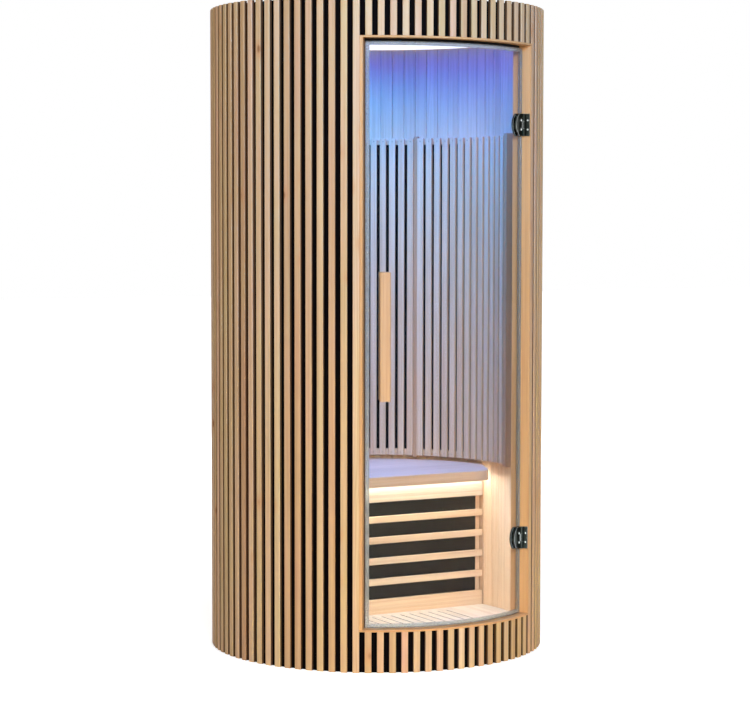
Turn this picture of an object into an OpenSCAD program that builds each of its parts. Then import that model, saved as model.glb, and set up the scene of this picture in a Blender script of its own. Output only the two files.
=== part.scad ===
// Round one-person infrared sauna cabin: a slatted drum with a curved glass door.
// Millimetres. Origin at the centre of the base, +Z up, doorway centred on -Y.
// A bearing is an angle about +Z, counted from -Y (0) towards +X (90).

/* [Cabin] */
// Diameter over the outer slats
cabin_d = 1050; // [900:10:1300]
// Overall height
cabin_h = 2000; // [1850:10:2400]

/* [Slatted wall] */
// Slat places round the whole cabin, an even number
slat_count = 90; // [72:2:108]
// Width of an outer slat
slat_w = 20; // [12:1:26]
// Depth of an outer slat
slat_t = 12; // [8:1:20]
// Chamfer on a slat's two front edges
slat_chamfer = 1.5; // [0.5:0.5:3]
// Thickness of the wall's black core behind the slats, insulation included
backing_t = 26; // [16:1:40]
// Thickness of the lining boards
lining_t = 11.7; // [8:0.1:20]

/* [Floor and roof] */
// Thickness of the base board inside the wall's core
base_t = 26; // [18:1:40]
// Thickness of the floor panel
floor_t = 18; // [12:1:30]
// Thickness of the duckboard
duck_t = 17; // [10:1:25]
// Distance from one duckboard slot to the next
duck_pitch = 35; // [25:1:50]
// Width of a duckboard slot
duck_slot_w = 5; // [3:0.5:8]
// Slots on each side of the duckboard's middle
duck_slots_half = 9; // [5:1:10]
// Thickness of the roof panel
roof_t = 18; // [12:1:30]
// How far the slats stand above the roof panel
roof_drop = 6; // [0:1:20]
// Clear height between ceiling and roof panel
roof_void = 28; // [15:1:60]
// Thickness of the ceiling panel
ceiling_t = 12; // [9:1:20]
// Leg of the corner light under the ceiling
cove_leg = 17; // [10:1:35]

/* [Doorway] */
// Short slats above and below the doorway, an odd number
short_slats = 17; // [11:2:21]
// Thickness of the jamb boards
jamb_t = 9.5; // [8:0.5:18]
// Depth of jambs, lintel and sill, front to back
frame_depth = 60; // [55:1:80]
// Thickness of lintel and sill
frame_t = 6; // [5:0.5:15]
// Height of the sill's top face
sill_top = 129; // [100:1:180]
// Height of the short slats above the lintel
head_h = 118; // [100:1:200]

/* [Door] */
// Thickness of the curved glass
glass_t = 8; // [6:0.5:12]
// How far the glass is set back from the slat fronts
glass_setback = 26; // [20:1:28]
// Clearance at the door's two sides
door_gap = 5; // [5:0.5:8]
// Gap between the door and the frame above it
top_gap = 9; // [5:0.5:12]
// Gap between the door and the frame below it
foot_gap = 2.5; // [2:0.5:8]
// Wall of the edge seal
seal_t = 1.5; // [1:0.5:3]
// Width of the edge seal on the glass
seal_w = 11; // [8:1:22]

/* [Handles] */
// Bearing of the handle bars
handle_bearing = -26.6; // [-28:0.1:-24]
// Length of a handle bar
handle_l = 380; // [200:5:600]
// Width of a handle bar
handle_w = 32; // [20:1:45]
// Thickness of a handle bar
handle_t = 24; // [15:1:35]
// Gap between the glass and a handle bar
handle_gap = 20; // [15:1:40]
// Height of a handle bar's middle
handle_z = 1000; // [900:5:1150]

/* [Hinges] */
// Height of the lower hinge's middle
hinge_low_z = 365; // [250:5:600]
// Distance of the upper hinge's middle from the roof edge
hinge_drop = 365; // [250:5:600]
// Height of a hinge
hinge_h = 68; // [50:1:100]
// Width of a hinge leaf, from front to back
leaf_w = 39; // [32:1:46]
// Thickness of a hinge leaf
leaf_t = 3; // [2:0.5:5]
// Radius of a hinge barrel
barrel_r = 4.5; // [4:0.5:6]
// Radius of a hinge pin
pin_r = 2; // [1.5:0.5:2.5]
// Thickness of a glass clamp plate
clamp_t = 5; // [4:0.5:8]
// How far a clamp plate reaches across the glass
clamp_reach = 38; // [36:1:50]

/* [Bench] */
// Distance of the bench front behind the cabin's middle
bench_front = 94; // [60:1:140]
// Height of the seat's top face
seat_top = 534; // [440:1:560]
// Thickness of the seat
seat_t = 33; // [20:1:45]
// How far the seat stands out in front of the bench
seat_overhang = 180; // [60:5:200]
// Width of the seat's straight front edge
seat_nose_w = 748; // [600:2:800]
// Bearing at which the seat's slanted sides meet the wall
seat_side_bearing = 102.8; // [100:0.1:110]
// Radius of the seat's front corners
seat_corner_r = 20; // [8:1:30]
// Thickness of the bench front's rails and bars
rail_t = 12; // [8:1:20]
// Height of the bench front's top rail
top_rail_h = 73; // [30:1:90]
// Height of the bench front's bottom rail above the duckboard
bottom_rail_h = 48; // [30:1:70]
// Number of bars in front of the bench heater
bar_count = 4; // [2:1:6]
// Height of a bar
bar_h = 22; // [15:1:30]
// Width of a stile behind the bars
stile_w = 16; // [12:1:40]

/* [Backrest] */
// Slats across the back, an odd number
back_slats = 23; // [17:2:25]
// Slats in each side panel
side_slats = 13; // [8:1:15]
// Width of a backrest slat
back_slat_w = 21; // [12:1:24]
// Gap between the slats across the back
back_gap = 10.05; // [6:0.05:12]
// Gap between the slats of a side panel
side_gap = 9.3; // [6:0.1:12]
// Thickness of a backrest slat
back_slat_t = 12; // [8:1:14]
// Depth of the space between backrest and lining
back_depth = 30; // [28:1:45]
// Width of the narrow posts between the panels
joint_w = 13; // [10:1:20]
// Width of the end boards in front of the side panels
end_w = 26; // [18:1:40]
// Height of the battens that carry the slats
batten_h = 21; // [15:1:35]
// Gap between the seat and the backrest
back_rise = 14; // [8:1:60]
// Height of the backrest panels
back_h = 1072; // [800:8:1200]

/* [Hidden] */

$fn = 180;
fit = 0.3;           // clearance of pieces that seat on each other
big = 4000;          // longer than anything here, for cutting blocks

// Radii of the wall's layers
slat_out = cabin_d / 2;
backing_out = slat_out - slat_t - fit;
backing_in = backing_out - backing_t;
lining_out = backing_in - fit;
lining_in = lining_out - lining_t;

// Slat places
pitch = 360 / slat_count;
first_full = (short_slats + 1) / 2;           // place of the full slat beside the doorway
back_place = slat_count / 2;                  // place of the slat opposite the doorway
front_places = ceil((back_place - first_full) / 2);
jamb_bearing = first_full * pitch;
seam_bearing = (first_full + front_places - 0.5) * pitch;

// Doorway: planes beside the jamb slats, at these distances from the slats' middle
frame_x = slat_w / 2;
reveal_x = frame_x + jamb_t;
frame_in = slat_out - frame_depth;
lintel_bottom = cabin_h - head_h - frame_t;

// Heights
floor_z = base_t;
duck_z = floor_z + floor_t;
duck_top = duck_z + duck_t;
roof_top = cabin_h - roof_drop;
roof_z = roof_top - roof_t;
ceiling_z = roof_z - roof_void - ceiling_t;

// Door
glass_out = slat_out - glass_setback;
glass_in = glass_out - glass_t;
seal_x = reveal_x + door_gap;
glass_x = seal_x + seal_t;
seal_bottom = sill_top + foot_gap;
seal_top = lintel_bottom - top_gap;
seal_fit = 0.2;      // play of the glass in its seal
notch_gap = 2;       // between a hinge and the seal above and below it
handle_post_r = 8;
handle_chamfer = 4;

// Hinges: the pivot in the right jamb's own frame, x across the reveal and y radial
leaf_bite = 0.5;     // how far the barrel is let into its leaf
barrel_gap = 2;      // running gap between barrel and glass
pivot_x = -(reveal_x + leaf_t + barrel_r - leaf_bite);
pivot_r = glass_out + barrel_gap + barrel_r;
hinge_zs = [hinge_low_z, cabin_h - hinge_drop];
knuckle_h = hinge_h / 3;
knuckle_gap = 0.5;
pin_clearance = 0.05;
leaf_margin = 1;     // leaf's front edge behind the slat fronts
clamp_side = pivot_x - barrel_r - 1;

// Bench
rail_back = bench_front + rail_t;
stile_t = 18;
stile_back = rail_back + fit + stile_t;
bench_gap = 1;       // play between the bench front and the lining
bench_half = sqrt(pow(lining_in - bench_gap, 2) - pow(rail_back, 2));
stile_out = sqrt(pow(lining_in - bench_gap, 2) - pow(stile_back, 2)) - fit;
seat_gap = 3;        // play between the seat and the lining
seat_r = lining_in - seat_gap;
seat_front = bench_front - seat_overhang;
seat_bottom = seat_top - seat_t;
top_rail_z = seat_bottom - top_rail_h;
bottom_rail_top = duck_top + bottom_rail_h;
bar_pitch = (top_rail_z - bottom_rail_top + bar_h) / (bar_count + 1);
heater_t = 6;
heater_lap = 9;      // how far the heater reaches behind the rails

// Backrest: bearings are counted from the middle of the back
back_in = lining_in - back_depth;
batten_in = back_in + back_slat_t + fit;
deg = 180 / PI;
back_half = (back_slats - 1) / 2;
back_step = (back_slat_w + back_gap) / back_in * deg;
side_step = (back_slat_w + side_gap) / back_in * deg;
joint_side = (joint_w / 2 + fit + back_slat_w / 2) / back_in * deg;     // post to the next slat
joint_at = back_half * back_step + joint_side;
side_first = joint_at + joint_side;
side_last = side_first + (side_slats - 1) * side_step;
end_at = side_last + (back_slat_w / 2 + side_gap + end_w / 2) / back_in * deg;
half_gap = fit / batten_in * deg;               // between the two halves of the back
joint_clear = (joint_w / 2 + fit) / batten_in * deg;
end_clear = (end_w / 2 + fit) / batten_in * deg;
back_z = seat_top + back_rise;
back_top = back_z + back_h;
post_overhang = 6;   // how far a post reaches past the slats' ends
joint_set_back = 4;  // how far a narrow post stands behind the slats' faces
end_proud = 2;       // how far an end board stands in front of them
back_heater_in = batten_in + 5;

pine = [0.87, 0.74, 0.58];
pine_dark = [0.80, 0.64, 0.46];
pine_pale = [0.93, 0.83, 0.68];
black = [0.06, 0.05, 0.05];

// ---- shared shapes ----

module ring(r_in, r_out, z0, z1) {
    translate([0, 0, z0]) difference() {
        cylinder(r = r_out, h = z1 - z0);
        translate([0, 0, -1]) cylinder(r = r_in, h = z1 - z0 + 2);
    }
}

module disc(r, z0, z1) {
    translate([0, 0, z0]) cylinder(r = r, h = z1 - z0);
}

// A point at a bearing, in plan
function at(bearing, r) = [r * sin(bearing), -r * cos(bearing)];

// Everything between two bearings less than 180 degrees apart
module between(b0, b1) {
    translate([0, 0, -1]) linear_extrude(cabin_h + 2)
        polygon([[0, 0], at(b0, big), at(b1, big)]);
}

// Everything between the two planes that run beside the jamb slats at distance off
module doorway(off, z0 = -1, z1 = cabin_h + 1) {
    translate([0, -off / sin(jamb_bearing), z0]) linear_extrude(z1 - z0)
        polygon([[0, 0], at(-jamb_bearing, big), at(jamb_bearing, big)]);
}

// A curved piece between two bearings
module arc(r_in, r_out, z0, z1, b0, b1) {
    intersection() {
        ring(r_in, r_out, z0, z1);
        between(b0, b1);
    }
}

// A straight upright board at a bearing
module upright(bearing, w, r_in, r_out, z0, z1) {
    rotate([0, 0, bearing]) translate([-w / 2, -r_out, z0]) cube([w, r_out - r_in, z1 - z0]);
}

// ---- floor ----

module base_panel() {
    color(pine_dark) disc(backing_in - fit, 0, base_t);
}

module floor_panel() {
    color(pine) disc(lining_in - fit, floor_z, duck_z);
}

module duckboard() {
    slot_r = lining_in - 40;
    slot_back = bench_front - 36;
    color(pine_pale) difference() {
        intersection() {
            disc(lining_in - seat_gap, duck_z, duck_top);
            translate([-big / 2, -big + bench_front - fit, 0]) cube([big, big, cabin_h]);
        }
        for (i = [-duck_slots_half : duck_slots_half - 1]) {
            x = (i + 0.5) * duck_pitch;
            front = -sqrt(pow(slot_r, 2) - pow(x, 2));
            translate([x - duck_slot_w / 2, front, duck_z - 1])
                cube([duck_slot_w, slot_back - front, duck_t + 2]);
        }
    }
}

// ---- round wall, in four panels beside the doorway and two over and under it ----

module wall_panel(r_in, r_out, z0, z1, b0, b1) {
    difference() {
        arc(r_in, r_out, z0, z1, b0, b1);
        doorway(frame_x);
    }
}

module door_band(r_in, r_out, z0, z1) {
    intersection() {
        ring(r_in, r_out, z0, z1);
        doorway(frame_x);
    }
}

module backing(b0, b1) {
    color(black) wall_panel(backing_in, backing_out, 0, roof_top, b0, b1);
}

module lining(b0, b1) {
    color(pine) wall_panel(lining_in, lining_out, floor_z, roof_z, b0, b1);
}

module backing_right_front() { backing(0, seam_bearing); }
module backing_right_back() { backing(seam_bearing, 180); }
module backing_left_back() { backing(180, 360 - seam_bearing); }
module backing_left_front() { backing(-seam_bearing, 0); }
module backing_over_door() { color(black) door_band(backing_in, backing_out, cabin_h - head_h, roof_top); }
module backing_under_door() { color(black) door_band(backing_in, backing_out, 0, sill_top - frame_t); }

module lining_right_front() { lining(0, seam_bearing); }
module lining_right_back() { lining(seam_bearing, 180); }
module lining_left_back() { lining(180, 360 - seam_bearing); }
module lining_left_front() { lining(-seam_bearing, 0); }
module lining_over_door() { color(pine) door_band(lining_in, lining_out, cabin_h - head_h, roof_z); }
module lining_under_door() { color(pine) door_band(lining_in, lining_out, floor_z, sill_top - frame_t); }

module slat(place, z0, z1) {
    w = slat_w / 2;
    rotate([0, 0, place * pitch]) translate([0, 0, z0]) linear_extrude(z1 - z0)
        polygon([
            [-w, -backing_out - fit], [w, -backing_out - fit],
            [w, -slat_out + slat_chamfer], [w - slat_chamfer, -slat_out],
            [-w + slat_chamfer, -slat_out], [-w, -slat_out + slat_chamfer]
        ]);
}

module slats(first, last, z0 = 0, z1 = cabin_h) {
    color(pine) for (place = [first : last]) slat(place, z0, z1);
}

module slats_right_front() { slats(first_full, first_full + front_places - 1); }
module slats_right_back() { slats(first_full + front_places, back_place); }
module slats_left_back() { slats(-back_place + 1, -first_full - front_places); }
module slats_left_front() { slats(-first_full - front_places + 1, -first_full); }
module slats_over_door() { slats(1 - first_full, first_full - 1, cabin_h - head_h, cabin_h); }
module slats_under_door() { slats(1 - first_full, first_full - 1, 0, sill_top - frame_t); }

// ---- door frame ----

module jamb() {
    color(pine_dark) rotate([0, 0, jamb_bearing])
        translate([-reveal_x, -slat_out, sill_top])
            cube([jamb_t, frame_depth, lintel_bottom - sill_top]);
}

module jamb_right() { jamb(); }
module jamb_left() { mirror([1, 0, 0]) jamb(); }
module lintel() { color(pine_pale) door_band(frame_in, slat_out, lintel_bottom, lintel_bottom + frame_t); }
module sill() { color(pine_pale) door_band(frame_in, slat_out, sill_top - frame_t, sill_top); }

// ---- roof ----

module roof_panel() {
    color(pine_dark) disc(backing_in - fit, roof_z, roof_top);
}

module ceiling_panel() {
    color(pine_pale) disc(lining_in - fit, ceiling_z, ceiling_z + ceiling_t);
}

module ceiling_light() {
    r = lining_in - fit;
    lip = 3;
    color([0.95, 0.95, 1]) rotate_extrude()
        polygon([
            [r, ceiling_z], [r - cove_leg, ceiling_z], [r - cove_leg, ceiling_z - lip],
            [r - lip, ceiling_z - cove_leg], [r, ceiling_z - cove_leg]
        ]);
}

// ---- bench ----

// The seat's outline: a straight nose, slanted sides out to the wall, the wall's circle behind
module bench_seat() {
    wall = at(seat_side_bearing, seat_r);
    nose_x = seat_nose_w / 2;
    slant = atan2(wall[1] - seat_front, wall[0] - nose_x);
    c = [nose_x - seat_corner_r * tan(slant / 2), seat_front + seat_corner_r];
    steps = 8;       // facets of a round corner
    corner = [for (i = [0 : steps])
        c + seat_corner_r * [sin(i * slant / steps), -cos(i * slant / steps)]];
    past = wall + 50 * [cos(slant), sin(slant)];   // the side's line ends outside the circle
    side = concat(corner, [past, [big, past[1]], [big, big]]);
    color(pine) translate([0, 0, seat_bottom]) intersection() {
        cylinder(r = seat_r, h = seat_t);
        linear_extrude(seat_t) polygon(concat(side,
            [for (i = [len(side) - 1 : -1 : 0]) [-side[i][0], side[i][1]]]));
    }
}

module rail(z0, z1) {
    translate([-bench_half, bench_front, z0]) cube([2 * bench_half, rail_t, z1 - z0]);
}

module bench_frame() {
    color(pine_pale) {
        rail(top_rail_z, seat_bottom);
        rail(duck_z, bottom_rail_top);
        for (x = [-stile_out, stile_out - stile_w])
            translate([x, rail_back + fit, duck_z]) cube([stile_w, stile_t, seat_bottom - duck_z]);
    }
}

module bench_bars() {
    color(pine_pale) for (i = [1 : bar_count])
        rail(bottom_rail_top - bar_h + i * bar_pitch, bottom_rail_top + i * bar_pitch);
}

module bench_heater() {
    half = stile_out - stile_w - fit;
    color([0.20, 0.19, 0.18])
        translate([-half, rail_back + fit, bottom_rail_top - heater_lap])
            cube([2 * half, heater_t, top_rail_z - bottom_rail_top + 2 * heater_lap]);
}

module bench_light() {
    strip_w = 12;
    strip_t = 6;
    color([1, 0.95, 0.85])
        translate([-bench_half + 10, bench_front - strip_w - 3, seat_bottom - fit - strip_t])
            cube([2 * bench_half - 20, strip_w, strip_t]);
}

// The cleat on the lining that carries the back of the seat
module bench_bearer() {
    cleat_t = 25;
    cleat_h = 30;
    color(pine_dark) arc(lining_in - fit - cleat_t, lining_in - fit,
        seat_bottom - fit - cleat_h, seat_bottom - fit, 118, 242);
}

// ---- backrest ----

// Narrow posts at the corners of the back, broad boards at both ends
module backrest_post(bearing, w, r_in) {
    r_out = sqrt(pow(lining_in - fit, 2) - pow(w / 2, 2));
    upright(bearing, w, r_in, r_out, back_z - post_overhang, back_top + post_overhang);
}

module backrest_posts() {
    color(pine) for (s = [-1, 1]) {
        backrest_post(180 + s * joint_at, joint_w, back_in + joint_set_back);
        backrest_post(180 + s * end_at, end_w, back_in - end_proud);
    }
}

// Curved battens between two bearings, and count slats from the bearing first
module backrest(b0, b1, first, step, count) {
    color(pine) {
        for (z = [back_z, back_top - batten_h])
            arc(batten_in, lining_in - fit, z, z + batten_h, b0, b1);
        for (i = [0 : count - 1])
            upright(first + i * step, back_slat_w, back_in, back_in + back_slat_t, back_z, back_top);
    }
}

// The back is in two halves that meet beside the middle slat; the right half holds that slat
module backrest_right_side() {
    backrest(180 - end_at + end_clear, 180 - joint_at - joint_clear,
        180 - side_last, side_step, side_slats);
}

module backrest_right_back() {
    backrest(180 - joint_at + joint_clear, 180 + back_step / 2,
        180 - back_half * back_step, back_step, back_half + 1);
}

module backrest_left_back() {
    backrest(180 + back_step / 2 + half_gap, 180 + joint_at - joint_clear,
        180 + back_step, back_step, back_half);
}

module backrest_left_side() {
    backrest(180 + joint_at + joint_clear, 180 + end_at - end_clear,
        180 + side_first, side_step, side_slats);
}

module back_heaters() {
    play = 1;        // degrees between a heater and the posts beside it
    for (b = [[-end_at, -joint_at], [-joint_at, joint_at], [joint_at, end_at]])
        color(black) arc(back_heater_in, back_heater_in + heater_t,
            back_z + batten_h, back_top - batten_h,
            180 + b[0] + end_clear + play, 180 + b[1] - end_clear - play);
}

// ---- door ----

module door_glass() {
    color([0.75, 0.85, 0.85, 0.35]) intersection() {
        ring(glass_in, glass_out, seal_bottom + seal_t, seal_top - seal_t);
        doorway(glass_x);
    }
}

// A channel over all four edges of the glass, cut away at the hinges
module door_seal() {
    color([0.55, 0.60, 0.60]) difference() {
        intersection() {
            ring(glass_in - seal_fit - seal_t, glass_out + seal_fit + seal_t, seal_bottom, seal_top);
            doorway(seal_x);
        }
        doorway(seal_x + seal_w, seal_bottom + seal_w, seal_top - seal_w);
        intersection() {
            ring(glass_in - seal_fit, glass_out + seal_fit, seal_bottom + seal_t, seal_top - seal_t);
            doorway(glass_x);
        }
        for (z = hinge_zs) hinge_frame(z - hinge_h / 2 - notch_gap)
            translate([-seal_x - seal_w - 1, -slat_out, 0])
                cube([seal_x + seal_w + 1, frame_depth, hinge_h + 2 * notch_gap]);
    }
}

// Outer and inner bar, each on two round standoffs
module handle(r_glass, out) {
    c = handle_chamfer;
    w = handle_w / 2;
    near = r_glass + out * (fit + handle_gap);
    far = near + out * handle_t;
    rotate([0, 0, handle_bearing]) {
        translate([0, 0, handle_z - handle_l / 2]) linear_extrude(handle_l)
            polygon([
                [-w, -near], [-w, -far + out * c], [-w + c, -far],
                [w - c, -far], [w, -far + out * c], [w, -near]
            ]);
        for (z = [-1, 1]) translate([0, -r_glass - out * fit, handle_z + z * handle_l * 0.36])
            rotate([90 * out, 0, 0]) cylinder(r = handle_post_r, h = handle_gap + 1, $fn = 48);
    }
}

module door_handles() {
    color(pine_dark) {
        handle(glass_out, 1);
        handle(glass_in, -1);
    }
}

// The right jamb's frame, lifted to a height
module hinge_frame(z) {
    rotate([0, 0, jamb_bearing]) translate([0, 0, z]) children();
}

module barrel(z0, z1, r) {
    translate([pivot_x, -pivot_r, z0]) cylinder(r = r, h = z1 - z0, $fn = 48);
}

// Fixed leaf on the reveal, with two knuckles and the pin
module hinge_leaf(z) {
    hinge_frame(z) union() {
        difference() {
            union() {
                translate([-reveal_x - leaf_t, -slat_out + leaf_margin, -hinge_h / 2])
                    cube([leaf_t, leaf_w, hinge_h]);
                barrel(-hinge_h / 2, hinge_h / 2, barrel_r);
            }
            barrel(-knuckle_h / 2 - knuckle_gap, knuckle_h / 2 + knuckle_gap, barrel_r + 0.6);
        }
        barrel(-hinge_h / 2 + 1, hinge_h / 2 - 1, pin_r);
    }
}

module hinge_leaves() {
    color("silver") for (z = hinge_zs) hinge_leaf(z);
}

// A D-shaped plate that follows the glass, cut square at the barrel
module clamp_plate(r_in) {
    intersection() {
        ring(r_in, r_in + clamp_t, -hinge_h / 2, hinge_h / 2);
        translate([clamp_side, 0, 0]) rotate([90, 0, 0])
            cylinder(r = clamp_reach, h = slat_out, $fn = 96);
        translate([clamp_side - big, -slat_out, -hinge_h]) cube([big, slat_out, 2 * hinge_h]);
    }
}

// Moving half: plates on both faces of the glass, the outer one with a knuckle
module hinge_clamp(z) {
    hinge_frame(z) {
        difference() {
            union() {
                clamp_plate(glass_out + fit);
                barrel(-knuckle_h / 2, knuckle_h / 2, barrel_r);
                translate([clamp_side - 1, -pivot_r, -knuckle_h / 2])
                    cube([pivot_x - clamp_side + 1, pivot_r - glass_out - fit - 0.9, knuckle_h]);
            }
            barrel(-hinge_h, hinge_h, pin_r + pin_clearance);
        }
        clamp_plate(glass_in - fit - clamp_t);
    }
}

module hinge_clamps() {
    color("silver") for (z = hinge_zs) hinge_clamp(z);
}

base_panel();
floor_panel();
duckboard();
backing_right_front();
backing_right_back();
backing_left_back();
backing_left_front();
backing_over_door();
backing_under_door();
lining_right_front();
lining_right_back();
lining_left_back();
lining_left_front();
lining_over_door();
lining_under_door();
slats_right_front();
slats_right_back();
slats_left_back();
slats_left_front();
slats_over_door();
slats_under_door();
jamb_right();
jamb_left();
lintel();
sill();
roof_panel();
ceiling_panel();
ceiling_light();
bench_seat();
bench_frame();
bench_bars();
bench_heater();
bench_light();
bench_bearer();
backrest_posts();
backrest_right_side();
backrest_right_back();
backrest_left_back();
backrest_left_side();
back_heaters();
hinge_leaves();
hinge_clamps();
door_glass();
door_seal();
door_handles();
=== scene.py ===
# %% [markdown]
# # A round slatted sauna cabin
#
# The cabin is a drum of upright softwood slats on a black backing, with a curved glass
# door, a bench, a backrest and two strips of light inside. Nearly everything on it is
# sawn timber, so most of this lesson is about boards: how to ease their edges, how to
# give each one its own stretch of grain, and how to lay many of them around a circle.
#
# The construction comes in as a finished frame. It is never moved or resized here. Each
# of its pieces either gets a finish, or is replaced by a more detailed piece that
# stands in exactly the same place.

# %% Load the frame
import math
import random

import bmesh
import bpy
from mathutils import Matrix, Vector


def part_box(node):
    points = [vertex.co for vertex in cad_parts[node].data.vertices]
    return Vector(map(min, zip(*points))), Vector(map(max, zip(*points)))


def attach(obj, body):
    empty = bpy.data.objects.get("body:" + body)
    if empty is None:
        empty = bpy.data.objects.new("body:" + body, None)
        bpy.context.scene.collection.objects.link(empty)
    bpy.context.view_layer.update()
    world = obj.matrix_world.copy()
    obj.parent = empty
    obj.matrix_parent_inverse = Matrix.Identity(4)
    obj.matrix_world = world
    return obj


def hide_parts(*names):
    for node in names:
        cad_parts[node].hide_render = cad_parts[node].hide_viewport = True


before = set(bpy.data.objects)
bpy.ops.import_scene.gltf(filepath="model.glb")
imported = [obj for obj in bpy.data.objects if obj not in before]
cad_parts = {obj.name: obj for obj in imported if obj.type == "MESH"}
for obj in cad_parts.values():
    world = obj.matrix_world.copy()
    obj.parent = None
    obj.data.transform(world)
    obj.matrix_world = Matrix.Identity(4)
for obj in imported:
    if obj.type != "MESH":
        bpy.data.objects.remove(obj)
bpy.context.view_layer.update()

MM = 0.001

# %% [markdown]
# ## Sizes, read from the frame
#
# Numbers that are typed twice drift apart. A scene that reads its sizes from the frame
# can't disagree with it. The wall's radii come from how far the corners of each layer
# lie from the middle axis, and heights come from each piece's box.

# %% Read the sizes that the scene needs
def radii(node):
    """Least and greatest distance of a frame piece's corners from the middle axis."""
    reach = [math.hypot(v.co.x, v.co.y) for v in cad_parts[node].data.vertices]
    return min(reach), max(reach)


def heights(node):
    low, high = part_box(node)
    return low.z, high.z


lining_in, lining_out = radii("lining_right_back")
glass_in, glass_out = radii("door_glass")
backing_out = radii("backing_right_back")[1]
cabin_r = -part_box("sill")[0].y
cabin_h = heights("slats_right_back")[1]
duck_top = heights("duckboard")[1]
lining_z0, lining_z1 = heights("lining_right_back")
seat_z0, seat_z1 = heights("bench_seat")
seat_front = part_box("bench_seat")[0].y
print(f"cabin radius {cabin_r:.3f} m, height {cabin_h:.3f} m, lining radius {lining_in:.4f} m")
print(f"seat top {seat_z1:.3f} m, duckboard top {duck_top:.3f} m")

# %% [markdown]
# ## The camera
#
# A tall narrow object looks calm through a long lens from far away, because its
# uprights stay almost parallel. The camera stands a little above the middle of the
# cabin and looks slightly down, so the floor inside the door can be seen.

# %% Place the camera
VIEW_BEARING = math.radians(-29.35)  # measured from the front towards the right
VIEW_DISTANCE = 13 * cabin_r
VIEW_HEIGHT = 2.5315 * cabin_r
VIEW_TILT = math.radians(3.442)  # how far the camera looks down
VIEW_AIM = math.radians(0.042)  # turn that puts the cabin a little beside the middle
VIEW_ROLL = math.radians(0.068)
LENS = 102.98  # millimetres, on a 36 mm sensor


def add(name, data):
    """A new object in the scene."""
    made = bpy.data.objects.new(name, data)
    bpy.context.scene.collection.objects.link(made)
    return made


camera = add("camera", bpy.data.cameras.new("camera"))
bpy.context.scene.camera = camera
camera.data.lens = LENS
camera.data.sensor_width = 36
camera.location = (
    VIEW_DISTANCE * math.sin(VIEW_BEARING),
    -VIEW_DISTANCE * math.cos(VIEW_BEARING),
    VIEW_HEIGHT,
)
camera.matrix_world = (
    Matrix.Translation(camera.location)
    @ Matrix.Rotation(VIEW_BEARING + VIEW_AIM, 4, "Z")
    @ Matrix.Rotation(math.pi / 2 - VIEW_TILT, 4, "X")
    @ Matrix.Rotation(VIEW_ROLL, 4, "Z")
)
print("camera at", [round(x, 3) for x in camera.location])

# %% [markdown]
# ## Finishes are small graphs
#
# Every finish below is a graph of shader nodes. Writing one node takes four lines of
# plain Blender code, so a little wrapper that makes a node and feeds its inputs keeps
# each finish short enough to read as a recipe. The studio's sky, at the end, is such a
# graph too.

# %% A wrapper for shader nodes
class Graph:
    """Shader nodes that are made and fed one line at a time."""

    def __init__(self, owner):
        owner.use_nodes = True
        self.tree = owner.node_tree

    def feed(self, socket, value):
        if isinstance(value, bpy.types.NodeSocket):
            self.tree.links.new(value, socket)
        else:
            socket.default_value = value

    def node(self, kind, *inputs, **settings):
        """A node of that kind. Inputs are fed in order, and None leaves one as it is."""
        made = self.tree.nodes.new("ShaderNode" + kind)
        for name, value in settings.items():
            setattr(made, name, value)
        for socket, value in zip(made.inputs, inputs):
            if value is not None:
                self.feed(socket, value)
        return made

    def math(self, operation, a, b=0.0, c=0.0):
        return self.node("Math", a, b, c, operation=operation).outputs[0]

    def place(self):
        """Where a point of the surface lies, in metres."""
        return self.node("TexCoord").outputs["Object"]

    def scaled(self, vector, factors):
        return self.node("VectorMath", vector, factors, operation="MULTIPLY").outputs[0]

    def length(self, vector):
        return self.node("VectorMath", vector, operation="LENGTH").outputs["Value"]

    def noise(self, vector, scale, detail=3.0, roughness=0.5):
        made = self.node("TexNoise", vector)
        self.feed(made.inputs["Scale"], scale)
        self.feed(made.inputs["Detail"], detail)
        self.feed(made.inputs["Roughness"], roughness)
        return made.outputs[0]

    def between(self, value, low, high, new_low=0.0, new_high=1.0):
        made = self.node("MapRange", value, low, high, new_low, new_high)
        made.interpolation_type = "SMOOTHSTEP"
        return made.outputs[0]

    def mix(self, share, first, second, blend="MIX"):
        made = self.node("Mix", data_type="RGBA", blend_type=blend)
        self.feed(made.inputs["Factor"], share)
        self.feed(made.inputs[6], first)
        self.feed(made.inputs[7], second)
        return made.outputs[2]

    def ramp(self, value, *stops):
        """A colour for a value from 0 to 1. Each stop is (place, colour)."""
        made = self.node("ValToRGB", value)
        elements = made.color_ramp.elements
        while len(elements) < len(stops):
            elements.new(0.5)
        for element, (place, colour) in zip(elements, stops):
            element.position = place
            element.color = colour
        return made.outputs[0]

    def seen(self):
        """1 where the eye looks, straight, in a mirror or through glass, and 0 for mere light."""
        rays = self.node("LightPath").outputs
        straight = self.math("MAXIMUM", rays["Is Camera Ray"], rays["Is Glossy Ray"])
        return self.math("MAXIMUM", straight, rays["Is Transmission Ray"])


print("graphs can be built from", sum(callable(part) for part in vars(Graph).values()), "methods")

# %% [markdown]
# ## A finish adds a surface
#
# Wood, rubber, metal and glass can all use one surface shader, the Principled BSDF, and
# differ only in what feeds it. What is the same all over goes straight into the
# shader's own socket, and only what varies gets nodes. Colours are written as on a
# paint chart, from 0 to 255, and turned into the linear values that Blender mixes.

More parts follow.
